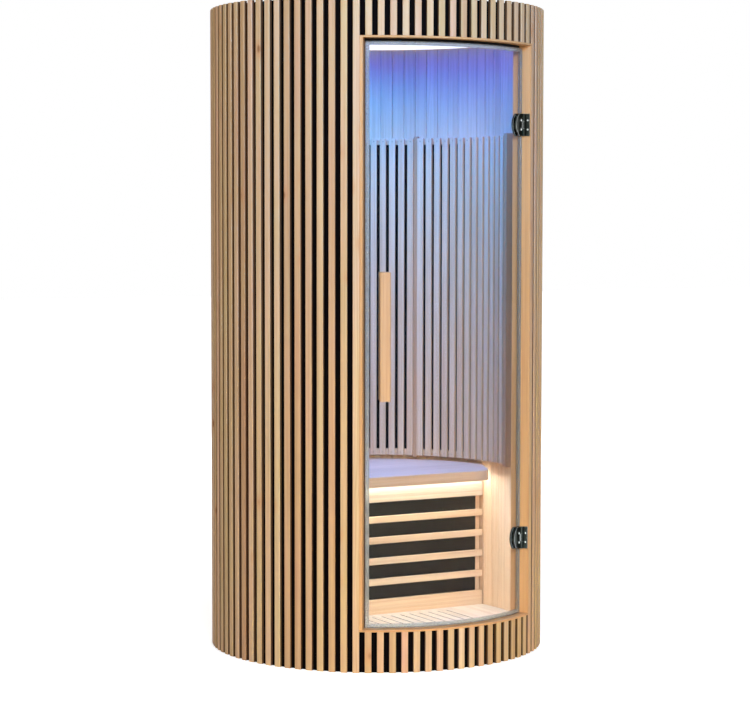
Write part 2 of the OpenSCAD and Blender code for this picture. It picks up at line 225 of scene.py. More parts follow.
# %% A finish, and the pieces that it coats
class Finish(Graph):
    """A material with one surface shader."""

    def __init__(self, name):
        self.material = bpy.data.materials.new(name)
        super().__init__(self.material)
        self.shader = self.tree.nodes["Principled BSDF"]
        self.output = self.tree.nodes["Material Output"]

    def set(self, **values):
        """Feeds the shader's own inputs: base_color=..., specular_ior_level=..."""
        for name, value in values.items():
            title = name.replace("_", " ").title().replace("Ior", "IOR")
            self.feed(self.shader.inputs[title], value)

    def bump(self, height, depth):
        """Raises the surface by height, from 0 to 1, times depth in metres."""
        made = self.node("Bump", 1.0, depth)
        self.feed(made.inputs["Height"], height)
        self.feed(self.shader.inputs["Normal"], made.outputs[0])


def colour(red, green, blue):
    """An sRGB colour from 0 to 255 as the linear values that Blender mixes."""
    def linear(c):
        c /= 255
        return c / 12.92 if c <= 0.04045 else ((c + 0.055) / 1.055) ** 2.4
    return linear(red), linear(green), linear(blue), 1.0


def coat(finish, *nodes):
    """Gives a finish to frame pieces whose shape is already right."""
    for node in nodes:
        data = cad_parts[node].data
        data.materials.clear()
        data.materials.append(finish.material)


print("a middle grey of 128 is mixed as", round(colour(128, 128, 128)[0], 3))

# %% [markdown]
# ## Softwood, as a solid log
#
# A picture of wood wrapped round a board never matches at the corners. Real boards are
# cut out of a log, so this finish is a log: the distance from the heart of the tree
# makes the rings, and a board shows whatever it cuts through. Long faces get straight
# or arched lines, and sawn ends get curved rings, with no extra work.
#
# Each board carries two attributes. "grain" is where each of its corners lay in the
# log, in metres, and "tone" is a random number from 0 to 1 for the board's colour.
#
# A branch leaves a knot. Points scattered through the log, with a brown spot round each one, put a
# knot on a board only where it happens to cut through a branch. The slats' sides also get painted
# shade, standing in for the shade deep in the narrow gaps: it is full near the black backing and
# fades out towards the front, which leaves the front edge pale and draws a fine line down every
# slat.

# %% Knots and painted shade on the slats' sides
KNOTS_PER_METRE = 9.0
KNOT_TONE = colour(142, 90, 54)
ROSY_TONE = colour(205, 142, 98)  # the wood round a knot
# The colour of the painted gap shade, and how much of it lies on a side at the backing.
GAP_SHADE_TONE = colour(74, 52, 36)
GAP_SHADE_SHARE = 0.92


def with_knots(wood, grain, base):
    """Small brown knots, and a rosy or a honey tint that drifts along the board."""
    drift = wood.noise(wood.scaled(grain, (3.5, 25.0, 25.0)), 1.0, detail=1.0)
    tint = wood.ramp(drift, (0.32, (1.02, 0.97, 1.0, 1)), (0.68, (0.98, 1.01, 0.93, 1)))
    tinted = wood.mix(1.0, base, tint, blend="MULTIPLY")
    cells = wood.node("TexVoronoi", wood.scaled(grain, (0.55, 1.0, 1.0)))
    wood.feed(cells.inputs["Scale"], KNOTS_PER_METRE)
    distance = cells.outputs["Distance"]
    rosy = wood.mix(wood.between(distance, 0.06, 0.20, 0.45, 0.0), tinted, ROSY_TONE)
    return wood.mix(wood.between(distance, 0.02, 0.085, 0.75, 0.0), rosy, KNOT_TONE)


def paint_gap_shade(wood, low, high):
    """Painted shade on a board's sides, as in a narrow gap: full at the low radius, gone at the
    high one.
    """
    radius = wood.length(wood.scaled(wood.place(), (1.0, 1.0, 0.0)))
    share = wood.between(radius, low, high, GAP_SHADE_SHARE, 0.0)
    plain = wood.shader.inputs["Base Color"].links[0].from_socket
    wood.set(base_color=wood.mix(share, plain, GAP_SHADE_TONE, blend="MULTIPLY"))


print("knots to a metre of log:", KNOTS_PER_METRE)

# %% The softwood finish
RING = 2.4 * MM  # a year's growth
LATE_TONE = colour(206, 160, 122)  # what late wood takes from a board's own colour
WOOD_RELIEF = 0.12 * MM


def softwood(name, tones, line=0.30, gloss=0.52, shine=0.2, knotty=False):
    """Rings, fibres and slow shading in a solid log. Tones are the boards' base colours."""
    wood = Finish(name)
    grain = wood.node("Attribute", attribute_name="grain").outputs["Vector"]
    tone = wood.node("Attribute", attribute_name="tone").outputs["Fac"]
    base = wood.ramp(tone, *[(i / (len(tones) - 1), t) for i, t in enumerate(tones)])

    part = wood.node("SeparateXYZ", grain)
    across = wood.math("POWER", part.outputs[1], 2.0)
    deep = wood.math("POWER", part.outputs[2], 2.0)
    heart = wood.math("SQRT", wood.math("ADD", across, deep))
    waver = wood.noise(wood.scaled(grain, (1.3, 9.0, 9.0)), 1.0, detail=2.0)
    rings = wood.math("MULTIPLY_ADD", waver, 9.0, wood.math("DIVIDE", heart, RING))
    year = wood.math("FRACT", rings)
    late = wood.math("MULTIPLY", wood.between(year, 0.35, 0.90), wood.between(year, 1.0, 0.93))

    fibre = wood.noise(wood.scaled(grain, (7.0, 900.0, 900.0)), 1.0, detail=2.0, roughness=0.6)
    streak = wood.noise(wood.scaled(grain, (2.0, 120.0, 120.0)), 1.0, detail=3.0)
    cloud = wood.noise(wood.scaled(grain, (2.5, 12.0, 12.0)), 1.0, detail=2.0)

    line_share = wood.math("MULTIPLY", late, wood.between(cloud, 0.3, 0.7, line * 0.5, line))
    dark = wood.mix(1.0, base, LATE_TONE, blend="MULTIPLY")
    lined = wood.mix(line_share, base, dark)
    streaked = wood.mix(wood.between(streak, 0.35, 0.75, 0.0, 0.30), lined, dark)
    shaded = wood.node("HueSaturation", 0.5, 1.0, wood.between(cloud, 0.25, 0.75, 0.95, 1.04))
    wood.feed(shaded.inputs["Color"], streaked)
    fleck = wood.node("HueSaturation", 0.5, 1.0, wood.between(fibre, 0.3, 0.75, 1.03, 0.93))
    wood.feed(fleck.inputs["Color"], shaded.outputs[0])

    wood.set(base_color=with_knots(wood, grain, fleck.outputs[0]) if knotty else fleck.outputs[0])
    wood.set(roughness=wood.between(fibre, 0.2, 0.8, gloss - 0.05, gloss + 0.10))
    wood.set(specular_ior_level=shine)
    relief = wood.math("MULTIPLY_ADD", late, 0.6, wood.math("MULTIPLY", fibre, 0.5))
    wood.bump(relief, WOOD_RELIEF)
    return wood


print(f"a ring of growth every {RING / MM} mm")

# %% [markdown]
# ## Nine woods from one recipe
#
# The boards are all softwood, but a joiner sorts them by tone: rosy and honey-coloured ones mixed
# for the slats, two plain warm ones for the door frame, pale ones inside and the palest for the
# bench's front and the floor. The bench's top rail is painted paler still, as painted light from
# the strip right above it. A finish of its own for every board would be endless work. Here each
# wood is one finish with a short list of tones, and each board's tone is drawn from somewhere along
# that list. Slats are many and seen side by side, so they get the longest list.

# %% The woods
SLAT_TONES = [
    colour(219, 179, 146), colour(225, 194, 153), colour(218, 184, 140), colour(210, 170, 129),
    colour(231, 201, 165), colour(222, 179, 146), colour(221, 190, 147), colour(206, 166, 127),
]
GAP_SHADE_FULL, GAP_SHADE_END = 6.5 * MM, 12.2 * MM  # how far out of the backing the painted shade reaches
slat_wood = softwood("slat_wood", SLAT_TONES, shine=0.01, knotty=True)
# Painted shade on the slats' sides, deepest at the backing.
paint_gap_shade(slat_wood, backing_out + GAP_SHADE_FULL, backing_out + GAP_SHADE_END)
roof_wood = softwood("roof_wood", SLAT_TONES, knotty=True)
frame_wood = softwood("frame_wood", [colour(218, 168, 115), colour(223, 173, 119)])
inside_wood = softwood("inside_wood", [
    colour(228, 199, 166), colour(232, 205, 173), colour(224, 193, 160), colour(230, 201, 168),
], line=0.22, shine=0.1)
handle_wood = softwood("handle_wood", [colour(212, 168, 124), colour(217, 173, 129)],
                       line=0.35, shine=0.4)
seat_wood = softwood("seat_wood", [
    colour(236, 200, 165), colour(240, 206, 172), colour(231, 194, 159),
], line=0.22, shine=0.2)
rail_wood = softwood("rail_wood", [colour(236, 209, 178), colour(240, 216, 187)], line=0.22)
# A paler wood for the bench's top rail: painted light from the strip above it.
strip_lit_wood = softwood("strip_lit_wood", [colour(246, 232, 212), colour(248, 237, 219)], line=0.18)
floor_wood = softwood("floor_wood", [colour(238, 225, 210), colour(234, 220, 203)], line=0.12)
woods = [slat_wood, roof_wood, frame_wood, inside_wood, handle_wood, seat_wood, rail_wood,
         strip_lit_wood, floor_wood]
print("woods:", len(woods), "and tones for the slats:", len(SLAT_TONES))

# %% [markdown]
# ## Turning solids into boards
#
# A frame piece can hold many boards, such as the eighteen slats of one wall panel. To
# treat each as a board of its own, the mesh is first split into the groups of corners
# that hang together. Going through the corners in their order keeps the groups, and so
# the random draws, the same on every run.

# %% Read the frame's solids
SAME_PLACE = 0.01 * MM  # corners nearer than this are one
SAME_PLANE = math.radians(0.5)  # faces that bend less than this are one


def frame_mesh(*nodes):
    """The named frame pieces as one clean mesh: doubles merged, flat faces made whole."""
    shell = bmesh.new()
    for node in nodes:
        shell.from_mesh(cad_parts[node].data)
    bmesh.ops.remove_doubles(shell, verts=shell.verts, dist=SAME_PLACE)
    bmesh.ops.dissolve_limit(shell, verts=shell.verts, edges=shell.edges, angle_limit=SAME_PLANE)
    return shell


def groups(shell):
    """The mesh's corners, in one list for each group that hangs together."""
    shell.verts.ensure_lookup_table()
    seen = set()
    found = []
    for start in shell.verts:
        if start in seen:
            continue
        seen.add(start)
        group = [start]
        for vert in group:
            for edge in vert.link_edges:
                other = edge.other_vert(vert)
                if other not in seen:
                    seen.add(other)
                    group.append(other)
        found.append(group)
    return found


slats_found = len(groups(frame_mesh("slats_right_front")))
print("slats in the right front panel:", slats_found)

# %% [markdown]
# ## Where a board lay in its log
#
# A board needs its length to run along the log. For an upright the length is the
# height, for a rail it is x, and for a curved board it follows the circle. Each of the
# small functions below takes the corners of one board and gives back their places as
# (along, across, deep).

# %% Four ways for the grain to run
def upright_grain(points):
    """The grain of a board that stands against the round wall."""
    middle = sum(points, Vector()) / len(points)
    bearing = math.atan2(middle.x, -middle.y)
    turned = Matrix.Rotation(-bearing, 3, "Z")
    return [(p.z, (turned @ p).x, (turned @ p).y + middle.xy.length) for p in points]


def rail_grain(points):
    """The grain of a board that lies along x."""
    middle = sum(points, Vector()) / len(points)
    return [(p.x, p.y - middle.y, p.z - middle.z) for p in points]


def plank_grain(points):
    """The grain of a board that lies along y."""
    middle = sum(points, Vector()) / len(points)
    return [(p.y, p.x - middle.x, p.z - middle.z) for p in points]


def bent_grain(points):
    """The grain of a board that is bent around the wall."""
    radius = sum(p.xy.length for p in points) / len(points)
    bearings = [math.atan2(p.x, -p.y) for p in points]
    if max(bearings) - min(bearings) > math.pi:
        bearings = [b % math.tau for b in bearings]
    return [(b * radius, p.z, p.xy.length - radius) for b, p in zip(bearings, points)]


print("grain directions: upright, rail, plank and bent")

# %% [markdown]
# ## One piece of joinery
#
# A joiner eases every sharp edge before finishing, because a sharp edge splinters and
# paint won't stay on it. A bevel on the edges does the same here, and catches a thin
# line of light. The bevel comes first and the grain after it, so that the new corners
# get true grain too.
#
# One trap: sharp edges are found by the angle between the faces' normals. A mesh that
# comes from the frame has them, but one that is built corner by corner has none until
# something works them out. Until then no edge counts as sharp and nothing is eased.

# %% Ease the edges
LEAST_BEND = 30  # degrees. Anything flatter isn't an edge


def ease(shell, width, steps=2, least=LEAST_BEND):
    """Rounds every edge that is sharper than the least angle, in degrees."""
    sharp = [
        e for e in shell.edges
        if len(e.link_faces) == 2 and e.calc_face_angle(0) > math.radians(least)
    ]
    made = bmesh.ops.bevel(
        shell, geom=sharp, offset=width, segments=steps, profile=0.5,
        affect="EDGES", clamp_overlap=True,
    )
    return made["faces"]


print("edges that bend by more than", LEAST_BEND, "degrees are eased")

# %% [markdown]
# ## From a mesh to a piece
#
# A mesh turns into a piece of the cabin once it has a finish and knows two things: the body that it
# rides on, and the parts of the frame that it stands for, which are then no longer shown. What
# hangs on the glass rides on the door, and the rest on the cabin. A weighted normal modifier keeps
# the broad faces flat and lets only the eased edges look round.

# %% Show a piece
SHARP_EDGE = math.radians(50)  # a bend that stays a crease


def show(name, shell, finish, slot, body="cabin", stands_for=()):
    """Turns a mesh into a piece that rides on a body and stands for frame pieces."""
    bmesh.ops.recalc_face_normals(shell, faces=shell.faces)
    data = bpy.data.meshes.new(name)
    shell.to_mesh(data)
    shell.free()
    data.materials.append(finish.material)
    data.shade_smooth()
    data.set_sharp_from_angle(angle=SHARP_EDGE)
    piece = add(name, data)
    even = piece.modifiers.new("broad faces stay flat", "WEIGHTED_NORMAL")
    even.keep_sharp = True
    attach(piece, body)
    if stands_for:
        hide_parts(*stands_for)
    return piece


print("creases stay sharp from", round(math.degrees(SHARP_EDGE)), "degrees")

# %% [markdown]
# ## Boards out of the log
#
# Now a piece can be made of boards. Each board draws its tone and the place in the log
# that it was cut from. The draws come from a generator with a fixed seed for each piece,
# so the cabin looks the same every time, and changing one piece leaves the others alone.

# %% Make a piece from boards
LOG_REACH = 0.09  # how far from the heart a board may be cut
LOG_LENGTH = 40  # metres of log to draw from


def joinery(name, shell, grain, finish, seed, **ways):
    """A piece of boards, each with its own tone and its own place in the log."""
    draw = random.Random(seed)
    grain_layer = shell.verts.layers.float_vector.new("grain")
    tone_layer = shell.verts.layers.float.new("tone")
    boards = groups(shell)
    for board in boards:
        tone = draw.random()
        shift = Vector((
            draw.uniform(0, LOG_LENGTH),
            draw.uniform(0.2, 1) * LOG_REACH * draw.choice((-1, 1)),
            draw.uniform(0.1, 1) * LOG_REACH,
        ))
        for vert, place in zip(board, grain([v.co.copy() for v in board])):
            vert[grain_layer] = Vector(place) + shift
            vert[tone_layer] = tone
    piece = show(name, shell, finish, **ways)
    print(f"{name}: {len(boards)} boards, {len(piece.data.polygons)} faces")
    return piece


def carve(name, nodes, grain, finish, seed, slot, easing, body="cabin"):
    """Boards whose form is the frame's own, with their edges eased."""
    shell = frame_mesh(*nodes)
    ease(shell, easing)
    return joinery(name, shell, grain, finish, seed, body=body, slot=slot, stands_for=nodes)


print("boards are cut up to", LOG_REACH, "m from the heart, out of", LOG_LENGTH, "m of log")

# %% [markdown]
# ## The outer slats
#
# Ninety slats stand around the drum. Seventeen of them are cut short above and below
# the door. Their fronts are chamfered, and no two have quite the same colour, because
# they come from different trees: that variation is most of what the eye reads as wood.
# Ninety copies of one slat would lose it, so each slat stays a board of its own.

# %% The outer slats
WALL_SEEDS = {"right_front": 11, "right_back": 12, "left_back": 13, "left_front": 14,
              "over_door": 31, "under_door": 32}
SLAT_EASE = 0.5 * MM

for part, seed in WALL_SEEDS.items():
    carve(f"outer_slats_{part}", [f"slats_{part}"], upright_grain, slat_wood, seed,
          "outer_slats", SLAT_EASE)

# %% [markdown]
# ## The black backing
#
# The slats are fixed to bent boards stained black, so the gaps between them look like
# deep shadow. Stain soaks in unevenly, and the board's fibres still catch a little
# light, so even black gets a fine streak and a slow cloud. A colour of zero would look
# like a hole.

# %% The black backing
def black_stain():
    stain = Finish("black_stain")
    place = stain.place()
    fibre = stain.noise(stain.scaled(place, (260.0, 260.0, 6.0)), 1.0, detail=3.0)
    cloud = stain.noise(place, 5.0)
    colours = stain.mix(fibre, (0.0012, 0.0008, 0.0008, 1), (0.0050, 0.0032, 0.0030, 1))
    stain.set(base_color=colours, roughness=stain.between(cloud, 0.3, 0.7, 0.75, 0.90))
    stain.set(specular_ior_level=0.05)
    stain.bump(fibre, 0.15 * MM)
    return stain


coat(black_stain(), *[f"backing_{part}" for part in WALL_SEEDS])
print("backing boards stained:", len(WALL_SEEDS))

# %% [markdown]
# ## The door frame
#
# Two flat boards stand at the sides of the doorway, and two bent strips close it above
# and below. They are the only wide faces beside the slats, so their grain shows best.
# Their form is the frame's own: it only needs eased edges, and grain that follows the
# bend of the strips.

# %% The door frame
BOARD_EASE = 1.5 * MM
STRIP_EASE = 0.8 * MM

carve("frame_right", ["jamb_right"], upright_grain, frame_wood, 41, "door_frame", BOARD_EASE)
carve("frame_left", ["jamb_left"], upright_grain, frame_wood, 42, "door_frame", BOARD_EASE)
carve("frame_over", ["lintel"], bent_grain, frame_wood, 43, "door_frame", STRIP_EASE)
carve("frame_under", ["sill"], bent_grain, frame_wood, 44, "door_frame", STRIP_EASE)

# %% [markdown]
# ## The lining boards
#
# Inside, the wall is clad with narrow tongued boards. A flat board can't follow a
# circle, so the lining is really a ring of flats, with a small V between neighbours.
# The frame holds the lining as smooth arcs, so here the boards are drawn: one outline
# with the two chamfers that make the V, pushed up the wall and turned to its bearing.

# %% The lining boards
BOARD_PITCH = 39.4 * MM
VEE = 1.3 * MM  # how deep the V between two boards is
SEAM = 0.25 * MM  # the gap between two boards


def stand_board(shell, bearing, width, z0, z1):
    """One lining board, with its V chamfers towards the room."""
    half = width / 2 - SEAM / 2
    back = math.sqrt(lining_out ** 2 - half ** 2)
    outline = [
        (-half, -back), (half, -back), (half, -lining_in - VEE),
        (half - VEE, -lining_in), (-half + VEE, -lining_in), (-half, -lining_in - VEE),
    ]
    turn = Matrix.Rotation(bearing, 3, "Z")
    low = [shell.verts.new(turn @ Vector((x, y, z0))) for x, y in outline]
    high = [shell.verts.new(turn @ Vector((x, y, z1))) for x, y in outline]
    shell.faces.new(low)
    shell.faces.new(high)
    for i, start in enumerate(low):
        j = (i + 1) % len(low)
        shell.faces.new((start, low[j], high[j], high[i]))


def clad(shell, start, end, z0, z1):
    """Boards of one width from bearing to bearing."""
    count = round((end - start) * lining_in / BOARD_PITCH)
    step = (end - start) / count
    for i in range(count):
        stand_board(shell, start + (i + 0.5) * step, step * lining_in, z0, z1)
    return count


door_edge = min(
    math.atan2(v.co.x, -v.co.y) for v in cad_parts["lining_right_front"].data.vertices
    if abs(v.co.xy.length - lining_in) < 0.5 * MM
)
wall = bmesh.new()
boards_round = clad(wall, door_edge, math.tau - door_edge, lining_z0, lining_z1)
boards_over = clad(wall, -door_edge, door_edge, *heights("lining_over_door"))
boards_under = clad(wall, -door_edge, door_edge, *heights("lining_under_door"))
joinery("lining_boards", wall, upright_grain, inside_wood, 51, slot="lining",
        stands_for=[f"lining_{part}" for part in WALL_SEEDS])
print("lining boards:", boards_round, "round,", boards_over, "over,", boards_under, "under")

# %% [markdown]
# ## Discs made of planks
#
# The roof, the ceiling and the floor are round panels of parallel planks. Each plank
# is the slice of a disc between two straight cuts, so its ends follow the circle. One
# function draws such a slice, given how far it may reach at each place across. The
# planks keep square edges, so the seams between them are no more than fine lines.

# %% Planks that end on a curve
def lay_plank(shell, y0, y1, reach, z0, z1, steps):
    """A plank along x between y0 and y1, whose ends lie at reach(y)."""
    across = [y0 + (y1 - y0) * i / steps for i in range(steps + 1)]
    outline = [(reach(y), y) for y in across] + [(-reach(y), y) for y in reversed(across)]
    low = [shell.verts.new((x, y, z0)) for x, y in outline]
    high = [shell.verts.new((x, y, z1)) for x, y in outline]
    shell.faces.new(list(reversed(low)))
    shell.faces.new(high)
    for i, start in enumerate(low):
        j = (i + 1) % len(low)
        shell.faces.new((start, low[j], high[j], high[i]))


PLANK_STEPS = 8  # corners along each curved end
RIM_TRIM = 0.5 * MM  # taken off the rim, where a plank would end in a point


def disc_of_planks(name, node, pitch, finish, seed, slot):
    """A round panel laid with planks about one pitch wide, in the place of a disc."""
    radius = radii(node)[1]
    z0, z1 = heights(node)
    count = round(2 * radius / pitch)
    width = 2 * radius / count
    shell = bmesh.new()
    for i in range(count):
        y0 = -radius + i * width + SEAM / 2 + (RIM_TRIM if i == 0 else 0)
        y1 = -radius + (i + 1) * width - SEAM / 2 - (RIM_TRIM if i == count - 1 else 0)
        lay_plank(shell, y0, y1, lambda y: math.sqrt(radius ** 2 - y ** 2), z0, z1, PLANK_STEPS)
    joinery(name, shell, rail_grain, finish, seed, slot=slot, stands_for=[node])


disc_of_planks("roof_boards", "roof_panel", 96 * MM, roof_wood, 61, "roof_board")
disc_of_planks("ceiling_boards", "ceiling_panel", 78 * MM, inside_wood, 62, "ceiling_board")
disc_of_planks("floor_boards", "floor_panel", 120 * MM, floor_wood, 63, "floor_board")
disc_of_planks("base_boards", "base_panel", 140 * MM, roof_wood, 64, "base_board")

# %% [markdown]
# ## The duckboard
#
# A removable board with slots lets the warm air through and keeps feet off the floor.
# Its form comes straight from the frame. The walls of the slots get a darker finish, painted shade
# for the depth of the narrow slots. They are the upright faces that lie well inside the board's
# rim.

# %% The duckboard
# Dark wood for the slots' walls: painted shade.
slot_shade_wood = softwood("slot_shade_wood", [colour(64, 52, 42), colour(76, 62, 50)], gloss=0.8)
SLOT_RIM = radii("duckboard")[1] - 12 * MM
UPRIGHT = 0.3  # an upright face's normal rises less than this


def line_slots(piece, finish, rim):
    """Gives the finish to upright faces that lie further inside than the rim."""
    piece.data.materials.append(finish.material)
    lined = [
        face for face in piece.data.polygons
        if abs(face.normal.z) < UPRIGHT and face.center.xy.length < rim
    ]
    for face in lined:
        face.material_index = 1
    return len(lined)


duckboard = carve("duckboard_top", ["duckboard"], plank_grain, floor_wood, 71, "duckboard",
                  STRIP_EASE)
print("faces inside the slots:", line_slots(duckboard, slot_shade_wood, SLOT_RIM))

# %% [markdown]
# ## The bench
#
# The seat juts well out over the heater: a straight nose, two slanted sides out to the
# wall, and the wall's own circle behind. The frame already holds that outline as a ring
# of corners, so the reach at any place is read from it. The two corners at the front are
# rounded off, where knees and hands pass.

# %% The seat's outline
SEAT_CORNER = 32 * MM  # how far the nose's corners are rounded


def half_outline(node):
    """The outline of a flat piece on its right-hand side, as (y, x) from front to back."""
    reach = {}
    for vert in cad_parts[node].data.vertices:
        y = round(vert.co.y, 6)
        reach[y] = max(reach.get(y, 0.0), vert.co.x)
    return sorted(reach.items())


SEAT_EDGE = half_outline("bench_seat")


def seat_reach(y):
    """Half the seat's width at a distance behind the middle of the cabin."""
    y = min(max(y, SEAT_EDGE[0][0]), SEAT_EDGE[-1][0])
    for (y0, x0), (y1, x1) in zip(SEAT_EDGE, SEAT_EDGE[1:]):
        if y <= y1:
            from_arc = max(SEAT_CORNER - (y - seat_front), 0)
            pulled_in = SEAT_CORNER - math.sqrt(SEAT_CORNER ** 2 - from_arc ** 2)
            return x0 + (x1 - x0) * (y - y0) / (y1 - y0) - pulled_in


print(f"the seat is {2 * max(x for y, x in SEAT_EDGE):.3f} m wide")

# %% [markdown]
# ## The seat's planks
#
# The seat is glued up from planks that run from wall to wall. One slab with lines drawn
# on it would show the same grain right across, so it is laid in planks like the roof and
# the floor, and their ends follow the outline by themselves. The nose is rounded more
# than the other edges, for the legs' sake.

# %% The seat
SEAT_EASE = 3 * MM
SEAT_PLANKS = 5
SEAT_STEPS = 24  # corners along each plank's shaped end
LONG_EDGE = 0.1


def seat_shell():
    shell = bmesh.new()
    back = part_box("bench_seat")[1].y - RIM_TRIM
    width = (back - seat_front) / SEAT_PLANKS
    for i in range(SEAT_PLANKS):
        y0 = seat_front + i * width
        lay_plank(shell, y0, y0 + width - SEAM, seat_reach, seat_z0, seat_z1, SEAT_STEPS)
    return shell


def ease_front(shell, y, width):
    """Rounds the long edges that lie at the very front."""
    front = [e for e in shell.edges
             if all(v.co.y < y for v in e.verts) and e.calc_length() > LONG_EDGE]
    bmesh.ops.bevel(shell, geom=front, offset=width, segments=4, profile=0.5, affect="EDGES")


seat = seat_shell()
ease_front(seat, seat_front + 0.1 * MM, SEAT_EASE)
ease(seat, SLAT_EASE, least=50)
joinery("seat_planks", seat, rail_grain, seat_wood, 81, slot="seat", stands_for=["bench_seat"])

# %% [markdown]
# ## The front of the bench
#
# Two rails and four bars guard the heater under the seat. They are screwed to uprights that stand
# behind them, and cut from the pale outer sapwood. The top rail, right under the light strip, is
# painted paler than the rest: painted light from the strip. It is part of the same piece, so its
# faces are found by their height and get a second, paler finish.

# %% Rails, bars and the cleat
TOP_RAIL = 73 * MM  # how far the top rail reaches below the seat
BAR_EASE = 2 * MM
THIN_EASE = 1 * MM
rails = carve("bench_rails", ["bench_frame"], rail_grain, rail_wood, 82, "bench_wood", BOARD_EASE)
# The top rail's faces get the paler wood, painted light from the strip right above them.
rails.data.materials.append(strip_lit_wood.material)
for face in rails.data.polygons:
    if face.center.z > seat_z0 - TOP_RAIL - 1 * MM:
        face.material_index = 1
carve("bench_guard_bars", ["bench_bars"], rail_grain, rail_wood, 83, "bench_wood", BAR_EASE)
carve("bench_cleat", ["bench_bearer"], bent_grain, inside_wood, 84, "bench_wood", THIN_EASE)

# %% [markdown]
# ## The backrest
#
# Three panels of narrow slats on curved battens stand around the back: a broad one and
# one at each side, with a narrow post between two panels and a wider board at each end.
# The frame splits the broad one in the middle. The gaps are dark, because black heater
# film hangs behind them.

# %% The backrest
BACK_PANELS = ("right_side", "right_back", "left_back", "left_side")
SLAT_LEAST = 0.5  # a slat is taller than this, a batten is lower


def backrest_shell(node):
    """One panel's solids, split into its upright slats and its curved battens."""
    shell = frame_mesh(node)
    slats = [g for g in groups(shell)
             if max(v.co.z for v in g) - min(v.co.z for v in g) > SLAT_LEAST]
    upright = {v for g in slats for v in g}
    return shell, upright


def keep(shell, wanted):
    bmesh.ops.delete(shell, geom=[v for v in shell.verts if v not in wanted], context="VERTS")


for place, panel in enumerate(BACK_PANELS):
    slats, upright = backrest_shell(f"backrest_{panel}")
    keep(slats, upright)
    ease(slats, BOARD_EASE)
    joinery(f"back_slats_{panel}", slats, upright_grain, inside_wood, 91 + place,
            slot="backrest", stands_for=[f"backrest_{panel}"])
    battens, upright = backrest_shell(f"backrest_{panel}")
    keep(battens, set(battens.verts) - upright)
    ease(battens, THIN_EASE)
    joinery(f"back_battens_{panel}", battens, bent_grain, inside_wood, 95 + place,
            slot="backrest")
post_wood = softwood("post_wood", [colour(200, 160, 124), colour(192, 152, 116)])
carve("back_posts", ["backrest_posts"], upright_grain, post_wood, 99, "backrest", BOARD_EASE)

# %% [markdown]
# ## Nails and screws
#
# Every slat of the backrest is nailed to both battens. The heads are only a few
# millimetres wide, and yet a board without any looks like a drawing of a board. A head
# is a turned form: a short profile of radius and height, spun into rings round the
# direction that it faces. Where the last ring sinks back in, it makes a screw's socket.

# %% Heads of nails and screws
def turn_head(shell, place, out, profile, sides=12):
    """Spins a profile of (radius, height) pairs round the direction that faces out."""
    stand = Vector(out).normalized().to_track_quat("Z", "Y").to_matrix()
    rings = []
    for radius, height in profile:
        turns = [math.tau * i / sides for i in range(sides)]
        spots = [Vector((radius * math.cos(t), radius * math.sin(t), height)) for t in turns]
        rings.append([shell.verts.new(place + stand @ spot) for spot in spots])
    for low, high in zip(rings, rings[1:]):
        for i in range(sides):
            j = (i + 1) % sides
            shell.faces.new((low[i], low[j], high[j], high[i]))
    shell.faces.new(list(reversed(rings[0])))
    shell.faces.new(rings[-1])


NAIL = [(1.5 * MM, -1.0 * MM), (1.5 * MM, 0.15 * MM), (1.2 * MM, 0.35 * MM)]
print(f"a nail's head is {2 * NAIL[0][0] / MM} mm across")

# %% [markdown]
# ## The backrest's nails
#
# The slats' and the battens' places are already in the frame, so the nails find their own:
# one where each slat crosses each batten, on the slat's face towards the room. They are
# all one mesh, because a hundred small objects would only slow the scene down. Bare nails
# in a warm damp room tarnish, so their steel is dull and brownish.

# %% Nails in the backrest
def batten_middles(shell, upright):
    """The heights at which the battens' middles lie."""
    battens = [g for g in groups(shell) if g[0] not in upright]
    return sorted({round(sum(v.co.z for v in g) / len(g), 4) for g in battens})


def nail_backrest():
    nails = bmesh.new()
    for panel in BACK_PANELS:
        shell, upright = backrest_shell(f"backrest_{panel}")
        places = batten_middles(shell, upright)
        for slat in [g for g in groups(shell) if g[0] in upright]:
            middle = sum((v.co for v in slat), Vector()) / len(slat)
            aim = middle.xy.normalized().to_3d()
            face = min(v.co.xy.dot(aim.xy) for v in slat)
            for z in places:
                turn_head(nails, aim * face + Vector((0, 0, z)), -aim, NAIL)
        shell.free()
    return nails


def nail_steel():
    steel = Finish("nail_steel")
    dull = steel.noise(steel.place(), 900.0)
    steel.set(base_color=steel.mix(dull, colour(70, 62, 54), colour(104, 94, 82)), metallic=0.8)
    steel.set(roughness=steel.between(dull, 0.3, 0.7, 0.35, 0.55))
    return steel


nails = nail_backrest()
print("nail heads:", len(groups(nails)))
show("back_nails", nails, nail_steel(), slot="hinge_metal")

# %% [markdown]
# ## Heater film
#
# The heaters are thin panels of carbon fibre under a clear skin: nearly black, with
# faint bands where the fibres run, and a dull shine. Their shape is a plain sheet, so
# all the work is in the finish: a noise stretched sideways makes the bands, and a
# second, broad one breaks them up.

# %% Heater film
def heater_film(name, dark, light, specular):
    film = Finish(name)
    place = film.place()
    band = film.noise(film.scaled(place, (9.0, 9.0, 140.0)), 1.0, detail=4.0, roughness=0.65)
    cloud = film.noise(film.scaled(place, (5.0, 5.0, 3.0)), 1.0)
    fibres = film.math("MULTIPLY", film.between(band, 0.4, 0.8), film.between(cloud, 0.3, 0.8))
    film.set(base_color=film.mix(fibres, dark, light))
    film.set(roughness=film.between(band, 0.3, 0.7, 0.38, 0.50), specular_ior_level=specular)
    film.bump(band, 0.1 * MM)
    return film


coat(heater_film("heater_film", colour(25, 24, 22), colour(50, 48, 43), 0.25), "bench_heater")
coat(heater_film("back_film", colour(8, 8, 12), colour(16, 16, 22), 0.2), "back_heaters")
print("heater film on the bench heater and the back heaters")

